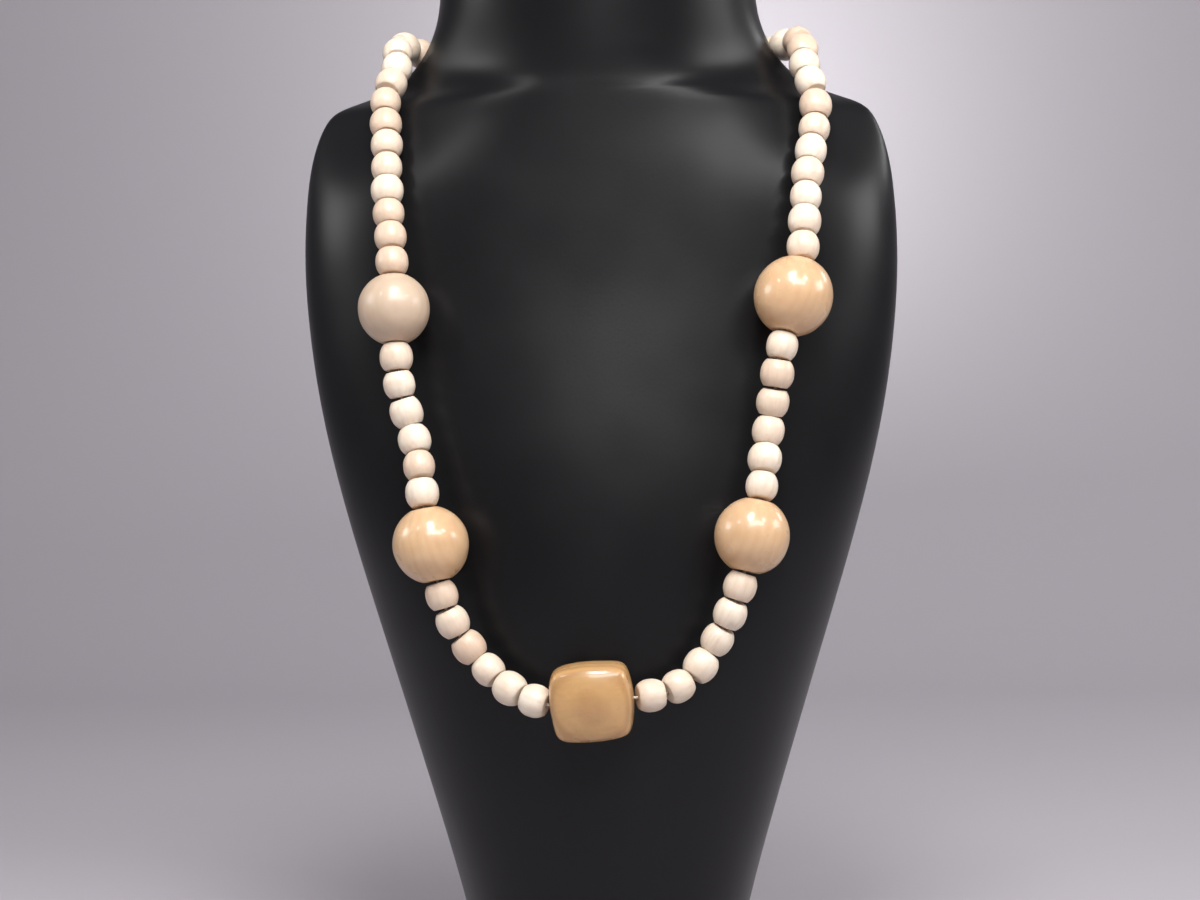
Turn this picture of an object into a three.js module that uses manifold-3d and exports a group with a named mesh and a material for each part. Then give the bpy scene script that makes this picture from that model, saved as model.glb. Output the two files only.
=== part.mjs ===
import * as THREE from 'three';
import { mergeVertices } from 'three/addons/utils/BufferGeometryUtils.js';
import Module from 'manifold-3d';

// A necklace of turned beads on a plain neck bust, in millimetres with +Z up.
// The front is towards -Y, and the origin is the center of the bust's foot.

// Neck bust
const bustHeight = 326;
const shoulderHeight = 275;
const shoulderWidth = 182;
const chestDepth = 52;
const backDepth = 52;
const neckWidth = 96;
const neckFront = 39;
const neckBack = 36;
const neckLean = 4;

// Beads: widths are across the bore, lengths along it
const beadWidth = 9.4;
const beadLength = 7.35;
const beadEndWidth = 6;
const roundWidth = 22;
const roundEndWidth = 8;
const centerWidth = 23;
const centerHeight = 22.8;
const centerDepth = 19;
const beadsPerRun = 6;

// Natural differences between the small beads: how large they are, as a share of a bead's size,
// how they step from bead to bead in degrees, and how far the lengths trail the widths in beads
const beadSpread = 0.03;
const spreadStep = 137;
const spreadTrail = 5;

// Thread and clearances: beadGap is between beads on a straight stretch, bentGap the usual one
// where the string bends round the neck
const threadWidth = 1;
const threadClearance = 0.3;
const beadGap = 0.3;
const bentGap = 0.9;
const centerGap = 1.05;
const seatGap = 0.5;

// Beads that the string takes to sink back to the bust beside a large bead
const liftFade = 5;

// Shares of beadLength between which the upper beads are eased, so that a whole number fills a side
const easeLow = 0.85;
const easeHigh = 1.15;

// Faces of the meshed shapes
const bustSides = 28;
const beadSides = 12;
const stringBeadSides = 10;
const roundSides = 16;
const centerSides = 20;
const centerRings = 16;
const threadSides = 6;

const colors = {
  ivory: 0xe3cdb2,
  tan: 0xd8ae80,
  pale: 0xcdb399,
  amber: 0xc89658,
  thread: 0xd9c9ae,
  leatherette: 0x1c1c1e,
};

// Torso sections from the foot up. height is a share of shoulderHeight, width of shoulderWidth,
// front of chestDepth, back of backDepth, and lean, how far the side line lies back, of neckLean.
// pinch is how far a section thins from its middle towards its sides: 0 is an ellipse.
const torsoSections = [
  { height: 0, width: 0.405, front: 0.735, back: 0.65, lean: 0, pinch: 0 },
  { height: 0.015, width: 0.42, front: 0.755, back: 0.67, lean: 0, pinch: 0 },
  { height: 0.10, width: 0.468, front: 0.82, back: 0.67, lean: 0, pinch: 0 },
  { height: 0.21, width: 0.566, front: 0.9, back: 0.67, lean: 0, pinch: 0 },
  { height: 0.325, width: 0.672, front: 0.965, back: 0.67, lean: 0, pinch: 0 },
  { height: 0.435, width: 0.776, front: 1, back: 0.69, lean: 0, pinch: 0 },
  { height: 0.545, width: 0.877, front: 0.968, back: 0.73, lean: 0, pinch: 0 },
  { height: 0.655, width: 0.956, front: 0.858, back: 0.79, lean: 0, pinch: 0 },
  { height: 0.755, width: 0.993, front: 0.757, back: 0.85, lean: 0, pinch: 0 },
  { height: 0.82, width: 1, front: 0.718, back: 0.89, lean: 0, pinch: 0 },
  { height: 0.875, width: 0.991, front: 0.701, back: 0.94, lean: 0.05, pinch: 0.1 },
  { height: 0.91, width: 0.98, front: 0.699, back: 0.97, lean: 0.16, pinch: 0.34 },
  { height: 0.937, width: 0.962, front: 0.704, back: 0.99, lean: 0.30, pinch: 0.58 },
  { height: 0.956, width: 0.941, front: 0.71, back: 1, lean: 0.42, pinch: 0.72 },
  { height: 0.97, width: 0.918, front: 0.7145, back: 0.99, lean: 0.50, pinch: 0.78 },
  { height: 0.978, width: 0.892, front: 0.7175, back: 0.98, lean: 0.55, pinch: 0.8 },
  { height: 0.984, width: 0.853, front: 0.7205, back: 0.96, lean: 0.60, pinch: 0.8 },
  { height: 0.991, width: 0.786, front: 0.7255, back: 0.92, lean: 0.67, pinch: 0.8 },
];

// Neck sections above the shoulders. height is a share of the neck's own height, width of neckWidth,
// front of neckFront, back of neckBack, lean of neckLean, and pinch is as above.
const neckSections = [
  { height: 0, width: 1.365, front: 0.974, back: 1.28, lean: 0.75, pinch: 0.8 },
  { height: 0.09, width: 1.22, front: 0.985, back: 1.19, lean: 0.85, pinch: 0.66 },
  { height: 0.21, width: 1.115, front: 0.993, back: 1.11, lean: 0.93, pinch: 0.42 },
  { height: 0.39, width: 1.03, front: 1, back: 1.035, lean: 1, pinch: 0.15 },
  { height: 0.57, width: 1.006, front: 1, back: 1, lean: 1, pinch: 0.03 },
  { height: 0.765, width: 1, front: 1, back: 1, lean: 1, pinch: 0 },
  { height: 0.96, width: 0.992, front: 0.99, back: 0.99, lean: 1, pinch: 0 },
  { height: 1, width: 0.963, front: 0.943, back: 0.955, lean: 1, pinch: 0 },
];

// Route of the string over the bust, from the back of the neck round the left side, across the
// chest and back round the right side. turn is in degrees from the front, height a share of
// shoulderHeight, and off, how far the string stands off the bust there, of beadWidth.
const stringRoute = [
  { turn: -180, height: 1.035, off: 0 },
  { turn: -145, height: 1.037, off: 0 },
  { turn: -115, height: 1.044, off: 0.1 },
  { turn: -90, height: 1.036, off: 0.35 },
  { turn: -73, height: 1.017, off: 0.2 },
  { turn: -60, height: 0.997, off: 0.1 },
  { turn: -48.5, height: 0.978, off: 0 },
  { turn: -43, height: 0.935, off: 0 },
  { turn: -41, height: 0.875, off: 0 },
  { turn: -37.8, height: 0.8, off: 0 },
  { turn: -37.3, height: 0.72, off: 0 },
  { turn: -37, height: 0.65, off: 0 },
  { turn: -34.4, height: 0.57, off: 0 },
  { turn: -33.3, height: 0.47, off: 0 },
  { turn: -30.6, height: 0.41, off: 0 },
  { turn: -23, height: 0.368, off: 0 },
  { turn: -12, height: 0.346, off: 0 },
  { turn: -1.3, height: 0.343, off: 0, center: true },
  { turn: 9, height: 0.353, off: 0 },
  { turn: 18.5, height: 0.36, off: 0 },
  { turn: 25.5, height: 0.395, off: 0 },
  { turn: 29.5, height: 0.46, off: 0 },
  { turn: 31.5, height: 0.54, off: 0 },
  { turn: 33, height: 0.62, off: 0 },
  { turn: 33.4, height: 0.69, off: 0 },
  { turn: 37, height: 0.77, off: 0 },
  { turn: 39.3, height: 0.835, off: 0 },
  { turn: 42.5, height: 0.9, off: 0 },
  { turn: 46.5, height: 0.95, off: 0 },
  { turn: 50, height: 0.979, off: 0.1 },
  { turn: 60, height: 0.997, off: 0.3 },
  { turn: 73, height: 1.014, off: 0.4 },
  { turn: 90, height: 1.035, off: 0.35 },
  { turn: 115, height: 1.044, off: 0.1 },
  { turn: 145, height: 1.037, off: 0 },
  { turn: 180, height: 1.035, off: 0 },
];

// Round beads with their widths as shares of roundWidth
const roundBeads = {
  lower_left: { width: 1, color: colors.tan },
  lower_right: { width: 0.985, color: colors.tan },
  upper_left: { width: 0.955, color: colors.pale },
  upper_right: { width: 1.045, color: colors.tan },
};

// Half outline of a barrel bead: along is a share of half its length, out is a share of the way
// from the end's edge to the widest ring.
const barrelOutline = [
  { along: 1, out: 0 },
  { along: 0.68, out: 0.74 },
  { along: 0, out: 1 },
];

const wasm = await Module();
wasm.setup();

const lengthAxis = new THREE.Vector3(0, 1, 0);
const boreWidth = threadWidth + 2 * threadClearance;

function bustRows() {
  const torso = torsoSections.map((s) => [
    s.height * shoulderHeight,
    s.width * shoulderWidth / 2,
    s.front * chestDepth,
    s.back * backDepth,
    s.lean * neckLean,
    s.pinch,
  ]);
  const neck = neckSections.map((s) => [
    shoulderHeight + s.height * (bustHeight - shoulderHeight),
    s.width * neckWidth / 2,
    s.front * neckFront,
    s.back * neckBack,
    s.lean * neckLean,
    s.pinch,
  ]);
  return [...torso, ...neck];
}

const sectionRows = bustRows();
const sectionHeights = sectionRows.map((row) => row[0]);
const bustShape = new THREE.CubicInterpolant(
  Float64Array.from(sectionHeights),
  Float64Array.from(sectionRows.flatMap((row) => row.slice(1))),
  5,
);

// Point on the bust at a turn from the front and a height, or inside it for a reach below 1
function bustPoint(turn, height, reach = 1) {
  const [halfWidth, front, back, lean, pinch] = bustShape.evaluate(height);
  const ahead = Math.cos(turn);
  const depth = THREE.MathUtils.lerp(ahead, ahead ** 3, pinch) * (ahead > 0 ? front : back);
  return new THREE.Vector3(
    reach * halfWidth * Math.sin(turn),
    lean - reach * depth,
    height,
  );
}

function bustNormal(turn, height) {
  const turnStep = 0.01;
  const heightStep = 0.5;
  const across = bustPoint(turn + turnStep, height).sub(bustPoint(turn - turnStep, height));
  const up = bustPoint(turn, height + heightStep).sub(bustPoint(turn, height - heightStep));
  return across.cross(up).normalize();
}

function mesh(name, geometry, color, roughness) {
  const material = new THREE.MeshStandardMaterial({ color, roughness, metalness: 0 });
  const piece = new THREE.Mesh(geometry, material);
  piece.name = name;
  return piece;
}

// Keeps a closed shape's positions alone, with the vertices that meet joined
function closedShape(geometry) {
  geometry.deleteAttribute('normal');
  geometry.deleteAttribute('uv');
  return mergeVertices(geometry, 1e-4);
}

// A cylinder's rings and sides carried onto the bust's sections
function neckBust() {
  const rings = sectionRows.length - 1;
  const geometry = new THREE.CylinderGeometry(1, 1, rings, bustSides, rings);
  const place = geometry.getAttribute('position');
  for (let i = 0; i < place.count; i += 1) {
    const height = sectionHeights[Math.round(place.getY(i) + rings / 2)];
    const turn = Math.atan2(place.getX(i), place.getZ(i));
    const reach = Math.hypot(place.getX(i), place.getZ(i));
    const point = bustPoint(turn, height, reach);
    place.setXYZ(i, point.x, point.y, point.z);
  }
  return mesh('neck_bust', closedShape(geometry), colors.leatherette, 0.5);
}

// Outline points of one barrel bead, from one end's edge to the other's
function barrelEdge(width, length) {
  const endRadius = beadEndWidth / 2;
  const half = barrelOutline.map((p) => new THREE.Vector2(
    THREE.MathUtils.lerp(endRadius, width / 2, p.out),
    -p.along * length / 2,
  ));
  const other = half.slice(0, -1).reverse().map((p) => new THREE.Vector2(p.x, -p.y));
  return [...half, ...other];
}

// Outline points of a round bead with a small flat at each end of its bore
function roundEdge(width) {
  const spans = roundSides / 2 - 1;
  const flat = Math.asin(roundEndWidth / width);
  return Array.from({ length: spans + 1 }, (_, i) => {
    const angle = THREE.MathUtils.lerp(flat, Math.PI - flat, i / spans);
    return new THREE.Vector2(Math.sin(angle) * width / 2, -Math.cos(angle) * width / 2);
  });
}

function roundLength(width) {
  return Math.sqrt(width ** 2 - roundEndWidth ** 2);
}

// Turns an outline round the bore, which stays open
function drilled(edge, sides) {
  const boreRadius = boreWidth / 2;
  const first = new THREE.Vector2(boreRadius, edge[0].y);
  const last = new THREE.Vector2(boreRadius, edge.at(-1).y);
  return closedShape(new THREE.LatheGeometry([first, ...edge, last, first.clone()], sides));
}

// A closed mesh as a solid, without the flat triangles at a lathe's poles
function toSolid(geometry) {
  const corners = geometry.index.array;
  const faces = [];
  for (let i = 0; i < corners.length; i += 3) {
    const [a, b, c] = corners.slice(i, i + 3);
    if (a !== b && b !== c && c !== a) {
      faces.push(a, b, c);
    }
  }
  return new wasm.Manifold(new wasm.Mesh({
    numProp: 3,
    vertProperties: new Float32Array(geometry.getAttribute('position').array),
    triVerts: Uint32Array.from(faces),
  }));
}

function toGeometry(solid) {
  const result = solid.getMesh();
  const geometry = new THREE.BufferGeometry();
  geometry.setAttribute('position', new THREE.BufferAttribute(result.vertProperties, 3));
  geometry.setIndex(new THREE.BufferAttribute(result.triVerts, 1));
  return geometry;
}

// Small natural differences between beads, the same each time
function grade(index) {
  return 1 + beadSpread * Math.sin(THREE.MathUtils.degToRad(spreadStep * index));
}

// Size of a small bead by its place in the whole row of beads
function barrelSize(index) {
  return {
    width: beadWidth * grade(index),
    length: beadLength * grade(index + spreadTrail),
  };
}

// Straight stretches from joint to joint, with a step at each joint
class ThreadPath extends THREE.Curve {
  constructor(joints) {
    super();
    this.joints = joints;
  }

  getPoint(t, target = new THREE.Vector3()) {
    const along = THREE.MathUtils.clamp(t, 0, 1) * (this.joints.length - 1);
    const index = Math.min(Math.floor(along), this.joints.length - 2);
    return target.lerpVectors(this.joints[index], this.joints[index + 1], along - index);
  }

  getUtoTmapping(u) {
    return u;
  }
}

function threadTube(joints) {
  const section = new THREE.Shape();
  section.absarc(0, 0, threadWidth / 2, 0, 2 * Math.PI);
  const options = {
    steps: joints.length - 1,
    curveSegments: threadSides / 2,
    extrudePath: new ThreadPath(joints),
  };
  return closedShape(new THREE.ExtrudeGeometry(section, options));
}

// The route on the bust, lifted off it so that each bead just clears the surface
const routePlan = new THREE.CatmullRomCurve3(stringRoute.map((p) => (
  new THREE.Vector3(THREE.MathUtils.degToRad(p.turn), p.height * shoulderHeight, p.off * beadWidth)
)), false, 'catmullrom');

class BeadRoute extends THREE.Curve {
  constructor(liftAt) {
    super();
    const divisionsPerPoint = 16;
    this.liftAt = liftAt;
    this.arcLengthDivisions = divisionsPerPoint * stringRoute.length;
  }

  getPoint(t, target = new THREE.Vector3()) {
    const { x: turn, y: height, z: off } = routePlan.getPoint(THREE.MathUtils.clamp(t, 0, 1));
    const lift = this.liftAt(t) + off;
    return target.copy(bustPoint(turn, height)).addScaledVector(bustNormal(turn, height), lift);
  }

  // Length of the route from its start to t
  runAt(t) {
    const lengths = this.getLengths();
    const along = THREE.MathUtils.clamp(t, 0, 1) * (lengths.length - 1);
    const index = Math.min(Math.floor(along), lengths.length - 2);
    return THREE.MathUtils.lerp(lengths[index], lengths[index + 1], along - index);
  }
}

// The beads of one side in order from the center bead out
function sideBeads(side, start) {
  const runOf = (part, first) => Array.from({ length: beadsPerRun }, (_, i) => ({
    name: `bead_${part}_${side}_${i + 1}`,
    ...barrelSize(first + i),
  }));
  const roundOf = (part) => {
    const { width, color } = roundBeads[`${part}_${side}`];
    return {
      name: `round_bead_${part}_${side}`,
      width: width * roundWidth,
      length: roundLength(width * roundWidth),
      color,
      round: true,
    };
  };
  return [
    ...runOf('lower', start),
    roundOf('lower'),
    ...runOf('middle', start + beadsPerRun),
    roundOf('upper'),
  ];
}

// How far each large bead lies from the middle of the center bead, along the string
function largeBeads(beads, direction) {
  let run = centerWidth / 2 + centerGap;
  const found = [];
  for (const bead of beads) {
    run += beadGap + bead.length / 2;
    if (bead.round) {
      found.push({ run: direction * run, width: bead.width, length: bead.length });
    }
    run += bead.length / 2;
  }
  return found;
}

// Each stretch of small beads starts at a place of its own in the pattern of natural differences
const patternStart = {
  mainLeft: 0,
  mainRight: 2 * beadsPerRun,
  upperLeft: 4 * beadsPerRun,
  upperRight: 7 * beadsPerRun,
};

const leftBeads = sideBeads('left', patternStart.mainLeft);
const rightBeads = sideBeads('right', patternStart.mainRight);
const centerT = stringRoute.findIndex((p) => p.center) / (stringRoute.length - 1);

// A large bead's middle clears the bust, and so does the straight stretch through it
function liftedRoute() {
  const low = beadWidth / 2 + seatGap;
  const flatRoute = new BeadRoute(() => low);
  const centerRun = flatRoute.runAt(centerT);
  const flatPoint = (run) => flatRoute.getPointAt((centerRun + run) / flatRoute.getLength());
  const sag = ({ run, length }) => {
    const chordMiddle = flatPoint(run - length / 2).lerp(flatPoint(run + length / 2), 0.5);
    return chordMiddle.distanceTo(flatPoint(run));
  };
  const large = [
    { run: 0, width: centerDepth, length: centerWidth },
    ...largeBeads(leftBeads, -1),
    ...largeBeads(rightBeads, 1),
  ].map((bead) => ({ ...bead, lift: bead.width / 2 + seatGap + sag(bead) - low }));
  return new BeadRoute((t) => {
    const run = flatRoute.runAt(t) - centerRun;
    const cubes = large.map((bead) => {
      const away = Math.abs(run - bead.run);
      const near = bead.length / 2;
      const share = 1 - THREE.MathUtils.smoothstep(away, near, near + liftFade * beadLength);
      return (share * bead.lift) ** 3;
    });
    return low + Math.cbrt(cubes.reduce((sum, cube) => sum + cube));
  });
}

const route = liftedRoute();

// The route's t at a straight distance from a point, searched from t in one direction
function stepAlong(from, t, distance, direction) {
  const halvings = 30;
  const searchReach = 2.5;
  let near = t;
  let far = t + direction * searchReach * distance / route.getLength();
  for (let i = 0; i < halvings; i += 1) {
    const middle = (near + far) / 2;
    if (route.getPoint(middle).distanceTo(from) < distance) {
      near = middle;
    } else {
      far = middle;
    }
  }
  return (near + far) / 2;
}

// Joints of a row of beads, with more room where the string bends so that the ends only just clear.
// A bend shares its room with the joints beside it, so it gets a little more than the ends need.
// The last joint gets the room of the one before it, because the row goes on past it.
function joints(start, lengths, direction) {
  const passes = 4;
  const bendRoom = 1.12;
  const gaps = new Array(lengths.length + 1).fill(beadGap);
  let places = [];
  for (let pass = 0; pass < passes; pass += 1) {
    places = [start];
    lengths.forEach((length, i) => {
      const last = places.at(-1);
      const distance = length + (gaps[i] + gaps[i + 1]) / 2;
      const t = stepAlong(last.point, last.t, distance, direction);
      places.push({ t, point: route.getPoint(t) });
    });
    for (let i = 1; i < lengths.length; i += 1) {
      const before = places[i].point.clone().sub(places[i - 1].point);
      const after = places[i + 1].point.clone().sub(places[i].point);
      gaps[i] = beadGap + bendRoom * beadEndWidth * Math.tan(before.angleTo(after) / 2);
    }
    gaps[lengths.length] = gaps[lengths.length - 1];
  }
  return places;
}

function beadCenter(a, b) {
  return a.clone().add(b).multiplyScalar(0.5);
}

// A cushion with crowned sides, squarer seen from the front than seen from its edge
function centerBead(from, to) {
  const faceRoundness = 4.2;
  const edgeRoundness = 2.5;
  const geometry = new THREE.SphereGeometry(1, centerSides, centerRings);
  const place = geometry.getAttribute('position');
  const point = new THREE.Vector3();
  for (let i = 0; i < place.count; i += 1) {
    point.fromBufferAttribute(place, i);
    const face = (Math.abs(point.x) ** faceRoundness + Math.abs(point.z) ** faceRoundness)
      ** (edgeRoundness / faceRoundness);
    const size = (face + Math.abs(point.y) ** edgeRoundness) ** (-1 / edgeRoundness);
    point.multiplyScalar(size);
    place.setXYZ(i, point.x * centerWidth / 2, point.y * centerDepth / 2, point.z * centerHeight / 2);
  }
  const bore = new THREE.CylinderGeometry(boreWidth / 2, boreWidth / 2, 2 * centerWidth, threadSides);
  bore.rotateZ(Math.PI / 2);
  const solid = toSolid(closedShape(geometry)).subtract(toSolid(closedShape(bore)));
  const piece = mesh('center_bead', toGeometry(solid), colors.amber, 0.35);

  const along = to.clone().sub(from).normalize();
  const { x: turn, y: height } = routePlan.getPoint(centerT);
  const inward = bustNormal(turn, height).negate();
  const up = along.clone().cross(inward).normalize();
  const back = up.clone().cross(along);
  piece.quaternion.setFromRotationMatrix(new THREE.Matrix4().makeBasis(along, back, up));
  piece.position.copy(beadCenter(from, to));
  return piece;
}

function mainBead(bead) {
  const edge = bead.round ? roundEdge(bead.width) : barrelEdge(bead.width, bead.length);
  const geometry = drilled(edge, bead.round ? roundSides : beadSides);
  const piece = mesh(bead.name, geometry, bead.color ?? colors.ivory, 0.45);
  piece.position.copy(beadCenter(bead.from, bead.to));
  piece.quaternion.setFromUnitVectors(lengthAxis, bead.to.clone().sub(bead.from).normalize());
  return piece;
}

function centerJoint(direction) {
  const middle = route.getPoint(centerT);
  const t = stepAlong(middle, centerT, centerWidth / 2 + centerGap, direction);
  return { t, point: route.getPoint(t) };
}

// All beads of one side with their joints: the main ones, and the upper ones that run on from them
// to the back of the neck. The upper lengths are eased a little so that a whole number ends there.
function placedBeads(mainBeads, direction, first) {
  const start = centerJoint(direction);
  const mainLengths = mainBeads.map((bead) => bead.length);
  const mainEnd = joints(start, mainLengths, direction).at(-1);
  const end = direction > 0 ? 1 : 0;
  const left = Math.abs(route.runAt(end) - route.runAt(mainEnd.t));
  const count = Math.round(left / (beadLength + bentGap));
  const sizes = Array.from({ length: count }, (_, i) => barrelSize(first + i));
  const easedSizes = (ease) => sizes.map(({ width, length }) => ({ width, length: ease * length }));
  const placesAt = (ease) => {
    const lengths = [...mainLengths, ...easedSizes(ease).map((size) => size.length)];
    return joints(start, lengths, direction);
  };
  const halvings = 16;
  let low = easeLow;
  let high = easeHigh;
  for (let i = 0; i < halvings; i += 1) {
    const ease = (low + high) / 2;
    if (direction * (end - placesAt(ease).at(-1).t) > 0) {
      low = ease;
    } else {
      high = ease;
    }
  }
  const points = placesAt(low).map((place) => place.point);
  const placed = [...mainBeads, ...easedSizes(low)].map((bead, i) => (
    { ...bead, from: points[i], to: points[i + 1] }
  ));
  return { main: placed.slice(0, mainBeads.length), upper: placed.slice(mainBeads.length) };
}

// A cylinder's rings carried onto rings in space, each with its own center, axis and radius
function skin(rings) {
  const spans = rings.length - 1;
  const geometry = new THREE.CylinderGeometry(1, 1, spans, stringBeadSides, spans);
  const place = geometry.getAttribute('position');
  for (let i = 0; i < place.count; i += 1) {
    const { center, across, up, radius } = rings[Math.round(place.getY(i) + spans / 2)];
    const point = center.clone();
    point.addScaledVector(across, radius * place.getX(i));
    point.addScaledVector(up, radius * place.getZ(i));
    place.setXYZ(i, point.x, point.y, point.z);
  }
  return closedShape(geometry);
}

// One upper string: the outline of each bead in turn, with the thread between them, as one body
function upperString(name, beads, direction) {
  const rings = [];
  let across = new THREE.Vector3(direction, 0, 0);
  for (const { width, length, from, to } of beads) {
    const axis = to.clone().sub(from).normalize();
    const up = across.clone().cross(axis).normalize();
    across = axis.clone().cross(up);
    const edge = barrelEdge(width, length);
    const threadEnds = [edge[0], edge.at(-1)].map((p) => new THREE.Vector2(threadWidth / 2, p.y));
    for (const p of [threadEnds[0], ...edge, threadEnds[1]]) {
      const center = beadCenter(from, to).addScaledVector(axis, p.y);
      rings.push({ center, across, up, radius: p.x });
    }
  }
  return mesh(name, skin(rings), colors.ivory, 0.45);
}

// The thread through the main beads, which ends inside the last one on each side
function mainThread(leftMain, rightMain) {
  const points = [
    ...leftMain.map((bead) => bead.to).reverse(),
    leftMain[0].from,
    rightMain[0].from,
    ...rightMain.map((bead) => bead.to),
  ].map((point) => point.clone());
  const drawIn = (end, next) => end.addScaledVector(next.clone().sub(end).normalize(), beadGap);
  drawIn(points[0], points[1]);
  drawIn(points.at(-1), points.at(-2));
  return mesh('thread', threadTube(points), colors.thread, 0.8);
}

function necklace() {
  const left = placedBeads(leftBeads, -1, patternStart.upperLeft);
  const right = placedBeads(rightBeads, 1, patternStart.upperRight);
  const group = new THREE.Group();
  group.add(centerBead(left.main[0].from, right.main[0].from));
  group.add(...left.main.map(mainBead), ...right.main.map(mainBead));
  group.add(mainThread(left.main, right.main));
  group.add(upperString('string_left', left.upper, -1));
  group.add(upperString('string_right', right.upper, 1));
  return group;
}

const model = new THREE.Group();
model.add(neckBust(), necklace());

export default model;
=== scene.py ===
import math
import random

import bpy
from mathutils import Matrix, Vector, noise


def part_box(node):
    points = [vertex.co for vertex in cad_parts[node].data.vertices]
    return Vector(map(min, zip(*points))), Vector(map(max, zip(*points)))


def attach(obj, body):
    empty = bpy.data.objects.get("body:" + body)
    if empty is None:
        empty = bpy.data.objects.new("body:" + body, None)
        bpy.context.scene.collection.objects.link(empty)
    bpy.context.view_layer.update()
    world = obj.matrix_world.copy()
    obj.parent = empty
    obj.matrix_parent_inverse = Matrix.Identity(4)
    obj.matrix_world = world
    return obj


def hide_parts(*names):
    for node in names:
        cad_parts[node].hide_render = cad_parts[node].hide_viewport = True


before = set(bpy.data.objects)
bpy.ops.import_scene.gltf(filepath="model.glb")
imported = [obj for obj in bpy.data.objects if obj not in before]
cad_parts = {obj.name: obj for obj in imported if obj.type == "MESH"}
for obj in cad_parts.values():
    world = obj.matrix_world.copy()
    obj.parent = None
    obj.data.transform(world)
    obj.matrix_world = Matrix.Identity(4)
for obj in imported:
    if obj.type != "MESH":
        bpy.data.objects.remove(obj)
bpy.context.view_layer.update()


# The neck bust: one molded form, drawn tight in smooth black leatherette with a satin finish.
# The covering turns over the rim of the neck and under the flat foot that the bust stands on.
bust_subdivisions = 2
leatherette_color = (0.005, 0.005, 0.0056, 1)
leatherette_gloss = (0.31, 0.38)
leatherette_shine = 0.25
leather_grain = 0.0009
leather_grain_depth = 0.00002
leather_grain_strength = 0.35
leather_pull = 0.03
leather_pull_depth = 0.0006
leather_pull_strength = 0.5
same_point = 1e-6


def pick(piece):
    bpy.ops.object.select_all(action="DESELECT")
    piece.select_set(True)
    bpy.context.view_layer.objects.active = piece


def node_copy(node, name):
    """A CAD node's mesh in a piece of its own, with its loose triangles joined"""
    piece = bpy.data.objects.new(name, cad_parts[node].data.copy())
    bpy.context.scene.collection.objects.link(piece)
    pick(piece)
    bpy.ops.object.mode_set(mode="EDIT")
    bpy.ops.mesh.select_all(action="SELECT")
    bpy.ops.mesh.remove_doubles(threshold=same_point)
    bpy.ops.object.mode_set(mode="OBJECT")
    return piece


def dress(piece, material):
    piece.data.materials.clear()
    piece.data.materials.append(material)


def blank_material(name):
    material = bpy.data.materials.new(name)
    material.use_nodes = True
    return material, material.node_tree.nodes["Principled BSDF"]


def add_node(material, kind, values=None, **settings):
    """A shader node with its settings, and its inputs set to values or linked to sockets"""
    made = material.node_tree.nodes.new(kind)
    for name, setting in settings.items():
        setattr(made, name, setting)
    for name, value in (values or {}).items():
        if isinstance(value, bpy.types.NodeSocket):
            material.node_tree.links.new(value, made.inputs[name])
        else:
            made.inputs[name].default_value = value
    return made


def link(material, output, shader, name):
    material.node_tree.links.new(output, shader.inputs[name])


leatherette, shader = blank_material("black_leatherette")
shader.inputs["Base Color"].default_value = leatherette_color
shader.inputs["Specular IOR Level"].default_value = leatherette_shine
place = add_node(leatherette, "ShaderNodeTexCoord").outputs["Object"]
grain = add_node(leatherette, "ShaderNodeTexVoronoi", {
    "Vector": place, "Scale": 1 / leather_grain}, feature="SMOOTH_F1")
pull = add_node(leatherette, "ShaderNodeTexNoise", {
    "Vector": place, "Scale": 1 / leather_pull, "Detail": 1.0})
gloss = add_node(leatherette, "ShaderNodeMapRange", {
    "Value": pull.outputs["Fac"], "From Min": 0.3, "From Max": 0.7,
    "To Min": leatherette_gloss[0], "To Max": leatherette_gloss[1]})
wave = add_node(leatherette, "ShaderNodeBump", {
    "Height": pull.outputs["Fac"],
    "Strength": leather_pull_strength, "Distance": leather_pull_depth})
pebble = add_node(leatherette, "ShaderNodeBump", {
    "Height": grain.outputs["Distance"], "Normal": wave.outputs["Normal"],
    "Strength": leather_grain_strength, "Distance": leather_grain_depth})
link(leatherette, gloss.outputs["Result"], shader, "Roughness")
link(leatherette, pebble.outputs["Normal"], shader, "Normal")

bust = node_copy("neck_bust", "leatherette_bust")
bpy.ops.object.mode_set(mode="EDIT")
bpy.ops.mesh.select_all(action="SELECT")
bpy.ops.mesh.tris_convert_to_quads(face_threshold=math.pi, shape_threshold=math.pi)
bpy.ops.object.mode_set(mode="OBJECT")
rounding = bust.modifiers.new("rounding", "SUBSURF")
rounding.levels = bust_subdivisions
rounding.render_levels = bust_subdivisions
bpy.ops.object.modifier_apply(modifier=rounding.name)
bpy.ops.object.shade_smooth()
dress(bust, leatherette)
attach(bust, "root")
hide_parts("neck_bust")


# The small beads: turned from pale wood to a barrel, bored through and tumbled smooth, then waxed.
# Each differs a little in size, tone and grain, as wood does. This section makes the main ones,
# which lie between the center bead and the upper round beads.
bore_width = 0.0016
bore_edge = 0.0006
barrel_width = 0.0094
barrel_length = 0.00735
barrel_end_width = 0.0066
barrel_fullness = 2.4
barrel_shoulder = 0.00045
shoulder_steps = 4
end_reach = 0.0001
barrel_sides = 40
barrel_steps = 12
smooth_below = math.radians(40)
hand_wobble = 0.00016
hand_wobble_size = 0.006
hand_wobble_apart = 9
grain_stretch = 0.12
streak_scale = 900.0
cloud_scale = 170.0
pore_scale = 1500.0
layer_scale = 120.0
layer_wander = 3.0
most_cloud = 0.55
gloss_spread = (-0.05, 0.06)
grain_strength = 0.25
grain_depth = 0.00003
wax_gloss = 0.12
wood_glow = 0.15
wood_glow_colors = (1.0, 0.45, 0.25)
wood_glow_depth = 0.0015
bead_seed = 11
noise.seed_set(bead_seed)


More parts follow.
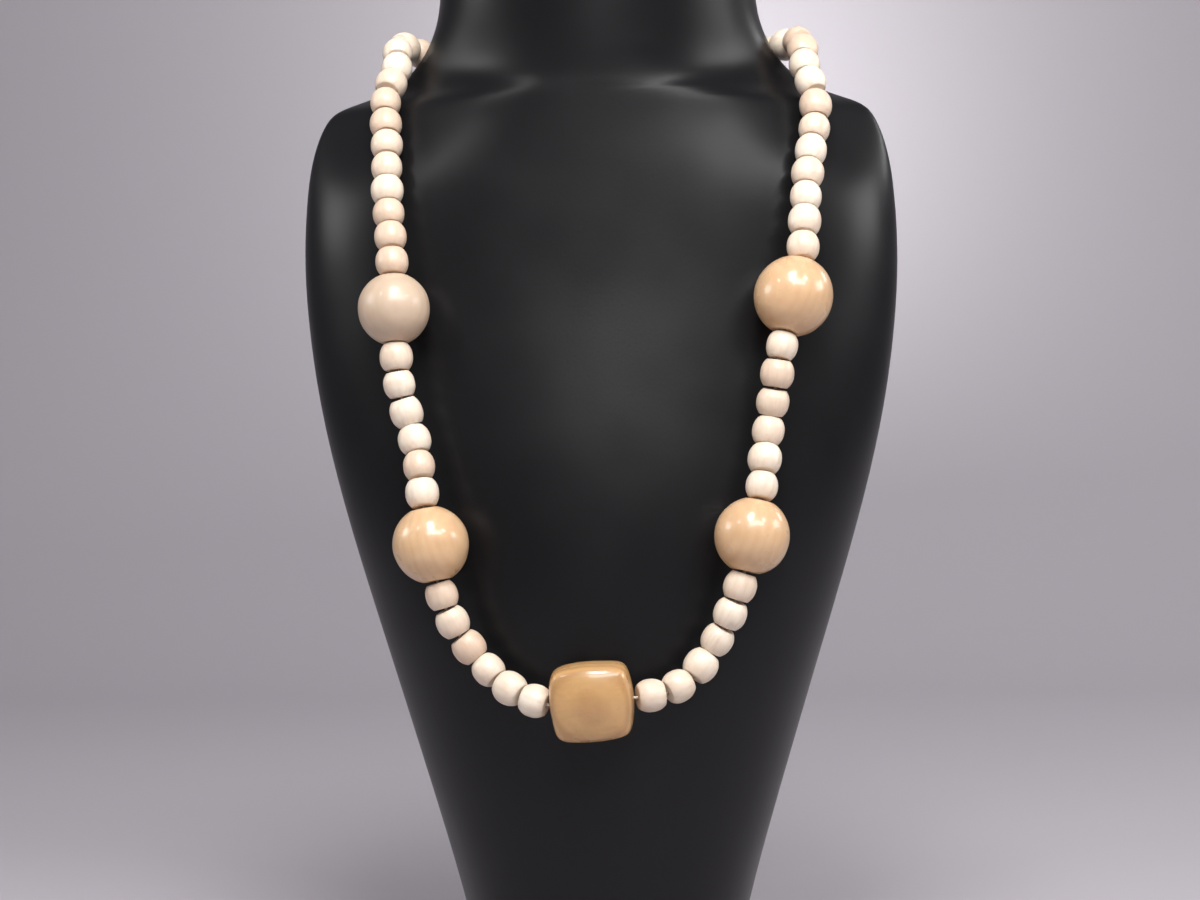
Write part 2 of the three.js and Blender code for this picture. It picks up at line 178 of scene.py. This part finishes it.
def bored_outline(width, length, end_width, fullness, steps):
    """Half section of a turned bead, as radius and height, from mouth to mouth of its bore"""
    outline = [(bore_width / 2, -length / 2)]
    for step in range(-steps, steps + 1):
        along = math.sin(math.pi / 2 * step / steps)
        out = 1 - abs(along) ** fullness
        outline.append((end_width / 2 + out * (width - end_width) / 2, along * length / 2))
    outline.append((bore_width / 2, length / 2))
    return outline


def turned_bead(name, outline, sides, shoulder):
    """A bead turned about Z: its outline is drawn point by point, spun and eased at its ends"""
    bpy.ops.object.select_all(action="DESELECT")
    bpy.ops.mesh.primitive_plane_add(size=bore_width)
    piece = bpy.context.active_object
    piece.name = name
    bpy.ops.object.mode_set(mode="EDIT")
    bpy.ops.mesh.merge(type="CENTER")
    radius, height = outline[0]
    bpy.ops.transform.translate(value=(radius, 0, height))
    for (last_radius, last_height), (radius, height) in zip(outline, outline[1:] + outline[:1]):
        bpy.ops.mesh.extrude_region_move(
            TRANSFORM_OT_translate={"value": (radius - last_radius, 0, height - last_height)})
    bpy.ops.mesh.select_all(action="SELECT")
    bpy.ops.mesh.spin(steps=sides, angle=math.tau, center=(0, 0, 0), axis=(0, 0, 1))
    bpy.ops.mesh.select_all(action="SELECT")
    bpy.ops.mesh.remove_doubles(threshold=same_point)
    bpy.ops.mesh.normals_make_consistent(inside=False)
    bpy.ops.mesh.select_all(action="DESELECT")
    bpy.ops.object.mode_set(mode="OBJECT")
    ends = (outline[0][1], outline[-1][1])
    rim = outline[1][0]
    on_rim = [
        min(abs(vertex.co.z - end) for end in ends) < same_point
        and abs(math.hypot(vertex.co.x, vertex.co.y) - rim) < same_point
        for vertex in piece.data.vertices]
    for edge in piece.data.edges:
        edge.select = all(on_rim[i] for i in edge.vertices)
    bpy.ops.object.mode_set(mode="EDIT")
    bpy.ops.mesh.select_mode(type="EDGE")
    bpy.ops.mesh.bevel(offset=shoulder, segments=shoulder_steps, affect="EDGES")
    bpy.ops.mesh.select_mode(type="VERT")
    bpy.ops.object.mode_set(mode="OBJECT")
    pick(piece)
    bpy.ops.object.shade_smooth_by_angle(angle=smooth_below)
    return piece


def joined_points(node):
    """A CAD node's points, each once, and for each the points that an edge joins to it"""
    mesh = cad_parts[node].data
    found = {}
    points = []
    index = []
    for vertex in mesh.vertices:
        key = tuple(round(value / same_point) for value in vertex.co)
        if key not in found:
            found[key] = len(points)
            points.append(vertex.co.copy())
        index.append(found[key])
    links = [set() for _ in points]
    for edge in mesh.edges:
        a, b = (index[i] for i in edge.vertices)
        if a != b:
            links[a].add(b)
            links[b].add(a)
    return points, links


def groups_of(members, links):
    """The members split into groups that edges join"""
    left = set(members)
    groups = []
    while left:
        group = {left.pop()}
        reached = set(group)
        while reached:
            reached = {j for i in reached for j in links[i] if j in left}
            left -= reached
            group |= reached
        groups.append(sorted(group))
    return groups


def middle_of(points):
    return sum(points, Vector()) / len(points)


def bead_places(node):
    """Each bead of a CAD node, as the middles of its two end faces and its width"""
    points, links = joined_points(node)
    bore = {
        i for i, near in enumerate(links)
        if any((points[i] - points[j]).length < bore_edge for j in near)}
    outside = [i for i in range(len(points)) if i not in bore]
    places = []
    for group in groups_of(outside, links):
        mouths = groups_of([i for i in group if links[i] & bore], links)
        start, end = (middle_of([points[i] for i in mouth]) for mouth in mouths)
        axis = (end - start).normalized()
        offsets = [points[i] - start for i in group]
        width = 2 * max((offset - offset.project(axis)).length for offset in offsets)
        places.append((start, end, width))
    return places


def keep_grain(piece, grain, shade):
    """Stores where the wood's grain lies at each point, and the tone of the whole bead"""
    piece.data.attributes.new("bead_grain", "FLOAT_VECTOR", "POINT")
    piece.data.attributes.new("bead_tone", "FLOAT", "POINT")
    piece.data.attributes["bead_grain"].data.foreach_set("vector", grain)
    piece.data.attributes["bead_tone"].data.foreach_set("value", [shade] * len(piece.data.vertices))


def set_bead(pattern, name, place, seed):
    """A copy of a turned bead in its place, with its own tone, grain and slight unevenness"""
    start, end, width = place
    draw = random.Random(seed)
    piece = bpy.data.objects.new(name, pattern.data.copy())
    bpy.context.scene.collection.objects.link(piece)
    sizes = pattern.dimensions
    length = (end - start).length + 2 * end_reach
    stretch = Matrix.Diagonal((width / sizes.x, width / sizes.y, length / sizes.z, 1))
    spin = Matrix.Rotation(draw.uniform(0, math.tau), 4, "Z")
    turn = (end - start).to_track_quat("Z", "Y").to_matrix().to_4x4()
    where = Matrix.Translation((start + end) / 2) @ turn
    offset = Vector((draw.uniform(-1, 1), draw.uniform(-1, 1), draw.uniform(-1, 1)))
    shade = draw.uniform(0, 1)
    grain = []
    for vertex in piece.data.vertices:
        local = stretch @ spin @ vertex.co
        radius = math.hypot(local.x, local.y)
        uneven = noise.noise_vector(local / hand_wobble_size + hand_wobble_apart * offset)
        uneven.z = 0
        reach = min(1, max(0, (2 * radius - bore_width) / barrel_end_width))
        vertex.co = where @ (local + hand_wobble * reach * uneven)
        grain.extend(local + offset)
    keep_grain(piece, grain, shade)
    return piece


def waxed_wood(name, light, dark, deep, roughness, coat, streak, layer, fleck):
    """Fine pale wood: streaks along the bore, growth layers, clouds, pores and a tone of its own"""
    material, wood = blank_material(name)

    def stained(under, over, pattern, span, most):
        """The color under a stain that grows with a pattern over a span of its values"""
        share = add_node(material, "ShaderNodeMapRange", {
            "Value": pattern, "From Min": span[0], "From Max": span[1], "To Max": most})
        return add_node(material, "ShaderNodeMix", {
            "Factor": share.outputs["Result"], "A": under, "B": over},
            data_type="RGBA").outputs["Result"]

    grain = add_node(material, "ShaderNodeAttribute", attribute_name="bead_grain").outputs["Vector"]
    tone = add_node(material, "ShaderNodeAttribute", attribute_name="bead_tone").outputs["Fac"]
    along = add_node(material, "ShaderNodeMapping", {
        "Vector": grain, "Scale": (1, 1, grain_stretch)}).outputs["Vector"]
    streaks = add_node(material, "ShaderNodeTexNoise", {
        "Vector": along, "Scale": streak_scale, "Detail": 4.0, "Roughness": 0.6}).outputs["Fac"]
    clouds = add_node(material, "ShaderNodeTexNoise", {
        "Vector": grain, "Scale": cloud_scale, "Detail": 2.0}).outputs["Fac"]
    pores = add_node(material, "ShaderNodeTexNoise", {
        "Vector": grain, "Scale": pore_scale, "Detail": 2.0}).outputs["Fac"]
    layers = add_node(material, "ShaderNodeTexWave", {
        "Vector": grain, "Scale": layer_scale, "Distortion": layer_wander,
        "Detail": 2.0, "Detail Scale": 0.4}, bands_direction="Y").outputs["Fac"]
    color = add_node(material, "ShaderNodeMix", {
        "Factor": tone, "A": light, "B": dark}, data_type="RGBA").outputs["Result"]
    color = stained(color, dark, clouds, (0.35, 0.75), most_cloud)
    color = stained(color, deep, streaks, (0.5, 0.8), streak)
    color = stained(color, deep, layers, (0.3, 1.0), layer)
    color = stained(color, deep, pores, (0.66, 0.78), fleck)
    gloss = add_node(material, "ShaderNodeMapRange", {
        "Value": clouds, "From Min": 0.3, "From Max": 0.7,
        "To Min": roughness + gloss_spread[0], "To Max": roughness + gloss_spread[1]})
    bump = add_node(material, "ShaderNodeBump", {
        "Height": streaks, "Strength": grain_strength, "Distance": grain_depth})
    link(material, color, wood, "Base Color")
    link(material, gloss.outputs["Result"], wood, "Roughness")
    link(material, bump.outputs["Normal"], wood, "Normal")
    wood.inputs["Subsurface Weight"].default_value = wood_glow
    wood.inputs["Subsurface Radius"].default_value = wood_glow_colors
    wood.inputs["Subsurface Scale"].default_value = wood_glow_depth
    wood.inputs["Coat Weight"].default_value = coat
    wood.inputs["Coat Roughness"].default_value = wax_gloss
    return material


ivory_wood = waxed_wood(
    "ivory_wood", (0.84, 0.74, 0.61, 1), (0.68, 0.51, 0.38, 1), (0.42, 0.27, 0.17, 1),
    roughness=0.42, coat=0.15, streak=0.3, layer=0.08, fleck=0.35)
outline = bored_outline(
    barrel_width, barrel_length, barrel_end_width, barrel_fullness, barrel_steps)
barrel_bead = turned_bead("barrel_bead", outline, barrel_sides, barrel_shoulder)
bead_loop = []
for part in ("lower", "middle"):
    for side in ("left", "right"):
        for number in range(1, 7):
            node = f"bead_{part}_{side}_{number}"
            (place,) = bead_places(node)
            bead_seed += 1
            bead_loop.append(place)
            bead = set_bead(barrel_bead, f"barrel_{part}_{side}_{number}", place, bead_seed)
            dress(bead, ivory_wood)
            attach(bead, "root")
            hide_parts(node)


# The upper strings: more of the same small beads, side by side on the thread over the shoulders
# and round the back of the neck. Each side's run is one piece.
for side in ("left", "right"):
    node = f"string_{side}"
    run = []
    for place in bead_places(node):
        bead_seed += 1
        bead_loop.append(place)
        bead = set_bead(barrel_bead, f"upper_bead_{side}_{len(run)}", place, bead_seed)
        dress(bead, ivory_wood)
        run.append(bead)
    pick(run[0])
    for bead in run:
        bead.select_set(True)
    bpy.ops.object.join()
    upper_run = run[0]
    upper_run.name = f"upper_run_{side}"
    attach(upper_run, "root")
    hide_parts(node)
bpy.data.objects.remove(barrel_bead)


# The round beads: four larger balls of a denser wood, turned, bored and polished to a gloss.
# Three are warm tan, and the upper left one is paler and duller.
round_width = 0.022
round_end_width = 0.008
round_shoulder = 0.0003
round_sides = 72
round_steps = 18


def ball_outline(width, end_width, steps):
    """Half section of a ball with a small flat at each mouth of its bore"""
    flat = math.asin(end_width / width)
    height = width / 2 * math.cos(flat)
    outline = [(bore_width / 2, -height)]
    for step in range(2 * steps + 1):
        angle = flat + (math.pi - 2 * flat) * step / (2 * steps)
        outline.append((width / 2 * math.sin(angle), -width / 2 * math.cos(angle)))
    outline.append((bore_width / 2, height))
    return outline


tan_wood = waxed_wood(
    "tan_wood", (0.70, 0.47, 0.27, 1), (0.57, 0.34, 0.18, 1), (0.36, 0.18, 0.08, 1),
    roughness=0.3, coat=0.5, streak=0.12, layer=0.1, fleck=0.1)
pale_wood = waxed_wood(
    "pale_wood", (0.66, 0.53, 0.40, 1), (0.52, 0.38, 0.27, 1), (0.36, 0.23, 0.15, 1),
    roughness=0.4, coat=0.25, streak=0.12, layer=0.08, fleck=0.1)
outline = ball_outline(round_width, round_end_width, round_steps)
ball_bead = turned_bead("ball_bead", outline, round_sides, round_shoulder)
for part in ("lower", "upper"):
    for side in ("left", "right"):
        pale = (part, side) == ("upper", "left")
        node = f"round_bead_{part}_{side}"
        (place,) = bead_places(node)
        bead_seed += 1
        bead_loop.append(place)
        bead = set_bead(ball_bead, f"ball_{part}_{side}", place, bead_seed)
        dress(bead, pale_wood if pale else tan_wood)
        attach(bead, "root")
        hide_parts(node)
bpy.data.objects.remove(ball_bead)


# The center bead: a cushion of amber-tan wood, sawn square, rounded on all its edges and polished.
# Its bore runs from side to side, and its face is a little flatter in the middle.
cushion_cuts = 3
cushion_rounding = 0.4
cushion_crown = 1.0
cushion_subdivisions = 3
cushion_reach = 0.0006
cushion_wobble = 0.00035
cushion_seed = Vector((3.1, 0.4, 7.2))
cushion_tone = 0.4
drill_sides = 24


def nearest_end(node, point):
    """The end face of a node's one bead that lies nearest to a point"""
    ((start, end, _),) = bead_places(node)
    return min((start, end), key=lambda mouth: (mouth - point).length)


def extent(points, direction):
    spans = [point.dot(direction) for point in points]
    return min(spans), max(spans)


def breadth(way):
    least, most = extent(center_points, way)
    return most - least


low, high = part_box("center_bead")
left_end = nearest_end("bead_lower_left_1", (low + high) / 2)
right_end = nearest_end("bead_lower_right_1", (low + high) / 2)
along = (right_end - left_end).normalized()
center_points, _ = joined_points("center_bead")
side = along.orthogonal().normalized()
across = [Matrix.Rotation(math.radians(angle), 3, along) @ side for angle in range(180)]
through = min(across, key=breadth)
through *= math.copysign(1, through.y)
frame_axes = (along, through, along.cross(through))
spans = [extent(center_points, axis) for axis in frame_axes]
center = sum((axis * (a + b) / 2 for axis, (a, b) in zip(frame_axes, spans)), Vector())

bpy.ops.object.select_all(action="DESELECT")
bpy.ops.mesh.primitive_cube_add(size=2)
cushion = bpy.context.active_object
cushion.name = "cushion_bead"
bpy.ops.object.mode_set(mode="EDIT")
bpy.ops.mesh.subdivide(number_cuts=cushion_cuts)
bpy.ops.object.mode_set(mode="OBJECT")
for factor, face_only in ((cushion_rounding, False), (cushion_crown, True)):
    easing = cushion.modifiers.new("easing", "CAST")
    easing.factor = factor
    easing.radius = 0
    easing.use_radius_as_size = False
    easing.size = 1
    easing.use_x = easing.use_z = not face_only
    bpy.ops.object.modifier_apply(modifier=easing.name)
rounding = cushion.modifiers.new("rounding", "SUBSURF")
rounding.levels = cushion_subdivisions
rounding.render_levels = cushion_subdivisions
bpy.ops.object.modifier_apply(modifier=rounding.name)
half_sizes = [(b - a) / 2 for a, b in spans]
half_sizes[0] += cushion_reach
fit = Matrix.Diagonal([
    2 * half / size for half, size in zip(half_sizes, cushion.dimensions)] + [1])
where = Matrix.Translation(center) @ Matrix(frame_axes).transposed().to_4x4()
grain = []
for vertex in cushion.data.vertices:
    local = fit @ vertex.co
    grain.extend((local.z, local.y, local.x))
    uneven = noise.noise_vector(local / half_sizes[0] + cushion_seed)
    smaller = local * (1 - cushion_wobble / half_sizes[0])
    vertex.co = where @ (smaller + cushion_wobble * uneven)
keep_grain(cushion, grain, cushion_tone)
bpy.ops.object.select_all(action="DESELECT")
bpy.ops.mesh.primitive_cylinder_add(
    vertices=drill_sides, radius=bore_width / 2, depth=4 * half_sizes[0])
drill = bpy.context.active_object
turn = along.to_track_quat("Z", "Y").to_matrix().to_4x4()
drill.data.transform(Matrix.Translation(center) @ turn)
pick(cushion)
boring = cushion.modifiers.new("boring", "BOOLEAN")
boring.operation = "DIFFERENCE"
boring.object = drill
bpy.ops.object.modifier_apply(modifier=boring.name)
bpy.data.objects.remove(drill)
bpy.ops.object.shade_smooth_by_angle(angle=smooth_below)
amber_wood = waxed_wood(
    "amber_wood", (0.60, 0.36, 0.15, 1), (0.48, 0.27, 0.11, 1), (0.32, 0.15, 0.06, 1),
    roughness=0.3, coat=0.5, streak=0.3, layer=0.4, fleck=0.1)
dress(cushion, amber_wood)
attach(cushion, "root")
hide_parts("center_bead")
bore_half = along * half_sizes[0]
bead_loop.append((center - bore_half, center + bore_half, 2 * half_sizes[2]))


# The thread: three waxed plies laid up to a cord, one loop through every bead. It shows only
# where the string turns and the beads open a little.
thread_width = 0.001
ply_depth = 0.14
ply_points = 12
ply_pitch = 0.0024
thread_step = 0.0005
fiber_scale = 6000.0
fiber_strength = 0.4
fiber_depth = 0.00004
fiber_dark = (0.55, 0.45, 0.32, 1)
fiber_light = (0.78, 0.69, 0.54, 1)
thread_roughness = 0.6
thread_fuzz = 0.3


def threaded(places):
    """The ends of all the beads in the order in which the thread meets them"""
    left = list(places)
    start, end, _ = left.pop()
    line = [start, end]
    while left:
        near = min(
            left, key=lambda place: min((line[-1] - mouth).length for mouth in place[:2]))
        left.remove(near)
        line += sorted(near[:2], key=lambda mouth: (line[-1] - mouth).length)
    return line


def resampled(line, step):
    """Points at even steps along a closed line"""
    points = []
    for a, b in zip(line, line[1:] + line[:1]):
        count = max(1, round((b - a).length / step))
        points += [a.lerp(b, i / count) for i in range(count)]
    return points


thread_line = resampled(threaded(bead_loop), thread_step)
section = bpy.data.curves.new("ply_section", "CURVE")
section.dimensions = "2D"
ring = section.splines.new("POLY")
ring.points.add(ply_points - 1)
ring.use_cyclic_u = True
for i, point in enumerate(ring.points):
    angle = math.tau * i / ply_points
    radius = thread_width / 2 * (1 - ply_depth * (1 - math.cos(3 * angle)))
    point.co = (radius * math.cos(angle), radius * math.sin(angle), 0, 1)
section_object = bpy.data.objects.new("ply_section", section)
bpy.context.scene.collection.objects.link(section_object)
thread_curve = bpy.data.curves.new("waxed_thread", "CURVE")
thread_curve.dimensions = "3D"
thread_curve.bevel_mode = "OBJECT"
thread_curve.bevel_object = section_object
path = thread_curve.splines.new("POLY")
path.points.add(len(thread_line) - 1)
path.use_cyclic_u = True
for i, (point, place) in enumerate(zip(path.points, thread_line)):
    point.co = (*place, 1)
    point.tilt = math.tau * i * thread_step / ply_pitch
thread = bpy.data.objects.new("waxed_thread", thread_curve)
bpy.context.scene.collection.objects.link(thread)
pick(thread)
bpy.ops.object.convert(target="MESH")
thread = bpy.context.active_object
bpy.data.objects.remove(section_object)
bpy.ops.object.shade_smooth()
thread_fiber, shader = blank_material("waxed_thread")
place = add_node(thread_fiber, "ShaderNodeTexCoord").outputs["Object"]
fibers = add_node(thread_fiber, "ShaderNodeTexNoise", {
    "Vector": place, "Scale": fiber_scale, "Detail": 3.0})
fiber_color = add_node(thread_fiber, "ShaderNodeMix", {
    "Factor": fibers.outputs["Fac"], "A": fiber_dark, "B": fiber_light}, data_type="RGBA")
bump = add_node(thread_fiber, "ShaderNodeBump", {
    "Height": fibers.outputs["Fac"], "Strength": fiber_strength, "Distance": fiber_depth})
link(thread_fiber, fiber_color.outputs["Result"], shader, "Base Color")
link(thread_fiber, bump.outputs["Normal"], shader, "Normal")
shader.inputs["Roughness"].default_value = thread_roughness
shader.inputs["Sheen Weight"].default_value = thread_fuzz
dress(thread, thread_fiber)
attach(thread, "root")
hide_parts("thread")


# The studio: a pale gray-mauve paper sweep that runs from the floor up behind the bust, and a level
# camera. A soft box high over the chest gives its pale patch, a wide panel and two lamps in front
# light the beads, two side panels the shoulders, and three lights behind brighten the paper.
sweep_width = 6.0
sweep_front = -2.5
sweep_back = 1.6
sweep_bend = 0.7
sweep_height = 3.0
sweep_steps = 24
sweep_color = (0.46, 0.43, 0.46, 1)
sweep_roughness = 0.9
camera_turn = 2.0
camera_distance = 0.745
camera_height = 0.165
camera_aim = -0.00084
camera_roll = 0.72
camera_lens = 73.5
sensor_width = 36.0
air_color = (0.9, 0.9, 1.0, 1)
air_light = 0.17

bpy.ops.object.select_all(action="DESELECT")
bpy.ops.mesh.primitive_plane_add(size=1)
sweep = bpy.context.active_object
sweep.name = "studio_sweep"
profile = [(sweep_front, 0.0)]
for i in range(sweep_steps + 1):
    angle = math.pi / 2 * i / sweep_steps
    profile.append((
        sweep_back - sweep_bend + sweep_bend * math.sin(angle),
        sweep_bend * (1 - math.cos(angle))))
profile.append((sweep_back, sweep_height))
bpy.ops.object.mode_set(mode="EDIT")
bpy.ops.mesh.merge(type="CENTER")
bpy.ops.transform.translate(value=(-sweep_width / 2, *profile[0]))
for (last_y, last_z), (y, z) in zip(profile, profile[1:]):
    bpy.ops.mesh.extrude_region_move(
        TRANSFORM_OT_translate={"value": (0, y - last_y, z - last_z)})
bpy.ops.mesh.select_all(action="SELECT")
bpy.ops.mesh.extrude_region_move(TRANSFORM_OT_translate={"value": (sweep_width, 0, 0)})
bpy.ops.mesh.select_all(action="SELECT")
bpy.ops.mesh.normals_make_consistent(inside=False)
bpy.ops.object.mode_set(mode="OBJECT")
bpy.ops.object.shade_smooth()
paper, shader = blank_material("sweep_paper")
shader.inputs["Base Color"].default_value = sweep_color
shader.inputs["Roughness"].default_value = sweep_roughness
dress(sweep, paper)


def soft_box(name, place, aim, size, power):
    """A rectangular light at a place, turned towards its aim"""
    lamp = bpy.data.lights.new(name, "AREA")
    lamp.shape = "RECTANGLE"
    lamp.size, lamp.size_y = size
    lamp.energy = power
    holder = bpy.data.objects.new(name, lamp)
    bpy.context.scene.collection.objects.link(holder)
    holder.location = place
    holder.rotation_euler = (Vector(aim) - Vector(place)).to_track_quat("-Z", "Y").to_euler()


soft_box("key_box", (0.01, -0.35, 0.63), (0, -0.05, 0.17), (0.16, 0.26), 3.0)
soft_box("front_panel", (0.5, -1.7, 1.5), (0, -0.045, 0.18), (1.6, 0.45), 26.0)
soft_box("left_lamp", (-0.5, -0.45, 0.75), (0, -0.05, 0.15), (0.1, 0.1), 0.6)
soft_box("right_lamp", (0.5, -0.45, 0.75), (0, -0.05, 0.15), (0.1, 0.1), 0.8)
soft_box("left_panel", (-0.65, -0.1, 0.44), (-0.07, -0.03, 0.2), (0.25, 0.2), 0.9)
soft_box("right_panel", (0.65, -0.1, 0.44), (0.07, -0.03, 0.2), (0.25, 0.2), 1.2)
soft_box("sweep_light", (0, 0.8, 1.3), (0, 1.6, 0.5), (1.2, 0.3), 4.4)
soft_box("glow_light", (0.06, 1.25, 0.55), (0.03, 1.6, 0.58), (0.1, 0.1), 1.2)
soft_box("floor_light", (0.9, 0.5, 0.7), (0.5, 0.65, 0.0), (0.3, 0.3), 2.0)

world = bpy.data.worlds.new("studio_air")
world.use_nodes = True
air = world.node_tree.nodes["Background"]
air.inputs["Color"].default_value = air_color
air.inputs["Strength"].default_value = air_light
bpy.context.scene.world = world
bpy.context.scene.view_settings.view_transform = "Standard"

camera_data = bpy.data.cameras.new("camera")
camera_data.sensor_width = sensor_width
camera_data.lens = camera_lens
camera = bpy.data.objects.new("camera", camera_data)
bpy.context.scene.collection.objects.link(camera)
turn = math.radians(camera_turn)
camera.location = (
    camera_distance * math.sin(turn), -camera_distance * math.cos(turn), camera_height)
sight = Vector((camera_aim, 0, camera_height)) - camera.location
level = sight.to_track_quat("-Z", "Y").to_matrix()
camera.rotation_euler = (level @ Matrix.Rotation(math.radians(-camera_roll), 3, "Z")).to_euler()
bpy.context.scene.camera = camera
